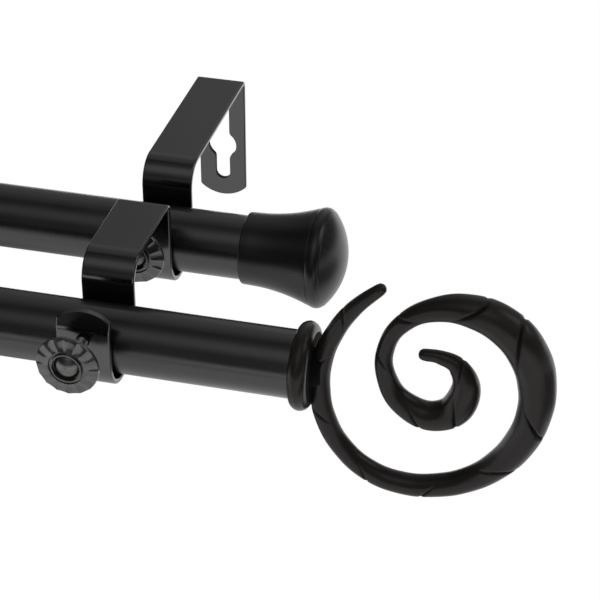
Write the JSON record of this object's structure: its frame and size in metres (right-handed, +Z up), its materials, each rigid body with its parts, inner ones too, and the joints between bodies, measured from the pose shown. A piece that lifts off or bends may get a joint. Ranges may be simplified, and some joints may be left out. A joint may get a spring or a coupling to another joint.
{
  "type": "double curtain pole",
  "caption": "Black double telescoping curtain pole on bent strap wall brackets with thumb screws, open spiral finials on the front pole and flared end caps on the rear pole.",
  "frame": {"origin": "middle of the right bracket's keyhole, on the wall plane at the back of its wall plate", "axes": "+X along the poles toward the right end as seen from the room, +Y into the wall, +Z up"},
  "size_m": [0.9002, 0.201, 0.0894],
  "materials": {
    "strap_black": "semi-gloss black paint on bent steel strip",
    "pole_black": "satin black paint on steel tube",
    "finial_black": "satin brown-black paint on a casting",
    "cap_black": "satin black paint",
    "knob_black": "semi-gloss black",
    "screw_black": "semi-gloss black",
    "stud_steel": "plain steel",
    "plug_black": "matte"
  },
  "bodies": {
    "fixed": {"bracket_right": "strap_black", "bracket_left": "strap_black", "front_tube_outer": "pole_black", "rear_tube_outer": "pole_black", "finial_right": "finial_black", "finial_stud_right": "stud_steel", "end_plug_right": "plug_black", "end_cap_right": "cap_black"},
    "front_slider": {"front_tube_inner": "pole_black", "finial_left": "finial_black", "finial_stud_left": "stud_steel", "end_plug_left": "plug_black"},
    "rear_slider": {"rear_tube_inner": "pole_black", "end_cap_left": "cap_black"},
    "screw_front_right": {"thumb_screw_front_right": "screw_black"},
    "knob_front_right": {"thumb_knob_front_right": "knob_black"},
    "screw_rear_right": {"thumb_screw_rear_right": "screw_black"},
    "knob_rear_right": {"thumb_knob_rear_right": "knob_black"},
    "screw_front_left": {"thumb_screw_front_left": "screw_black"},
    "knob_front_left": {"thumb_knob_front_left": "knob_black"},
    "screw_rear_left": {"thumb_screw_rear_left": "screw_black"},
    "knob_rear_left": {"thumb_knob_rear_left": "knob_black"}
  },
  "joints": [
    {"name": "front_telescope", "type": "slide", "parent": "fixed", "child": "front_slider", "axis": [-1, 0, 0], "range_m": [0, 0.508]},
    {"name": "rear_telescope", "type": "slide", "parent": "fixed", "child": "rear_slider", "axis": [-1, 0, 0], "range_m": [0, 0.508]},
    {"name": "screw_travel_front_right", "type": "slide", "parent": "fixed", "child": "screw_front_right", "axis": [0, -1, 0], "range_m": [-0.0035, 0]},
    {"name": "knob_turn_front_right", "type": "hinge", "parent": "screw_front_right", "child": "knob_front_right", "pos_m": [0, -0.1915, 0.0151], "axis": [0, -1, 0], "range_deg": [-1575.1, 0]},
    {"name": "screw_travel_rear_right", "type": "slide", "parent": "fixed", "child": "screw_rear_right", "axis": [0, -1, 0], "range_m": [0, 0.0035]},
    {"name": "knob_turn_rear_right", "type": "hinge", "parent": "screw_rear_right", "child": "knob_rear_right", "pos_m": [0, -0.1185, 0.0151], "axis": [0, -1, 0], "range_deg": [0, 1575.1]},
    {"name": "screw_travel_front_left", "type": "slide", "parent": "fixed", "child": "screw_front_left", "axis": [0, -1, 0], "range_m": [-0.0035, 0]},
    {"name": "knob_turn_front_left", "type": "hinge", "parent": "screw_front_left", "child": "knob_front_left", "pos_m": [-0.5608, -0.1915, 0.0164], "axis": [0, -1, 0], "range_deg": [-1575.1, 0]},
    {"name": "screw_travel_rear_left", "type": "slide", "parent": "fixed", "child": "screw_rear_left", "axis": [0, -1, 0], "range_m": [0, 0.0035]},
    {"name": "knob_turn_rear_left", "type": "hinge", "parent": "screw_rear_left", "child": "knob_rear_left", "pos_m": [-0.5608, -0.1185, 0.0164], "axis": [0, -1, 0], "range_deg": [0, 1575.1]}
  ],
  "couplings": [
    {"joint": "knob_turn_front_right", "follows": "screw_travel_front_right", "rad_per_m": 7854},
    {"joint": "knob_turn_rear_right", "follows": "screw_travel_rear_right", "rad_per_m": 7854},
    {"joint": "knob_turn_front_left", "follows": "screw_travel_front_left", "rad_per_m": 7854},
    {"joint": "knob_turn_rear_left", "follows": "screw_travel_rear_left", "rad_per_m": 7854}
  ]
}
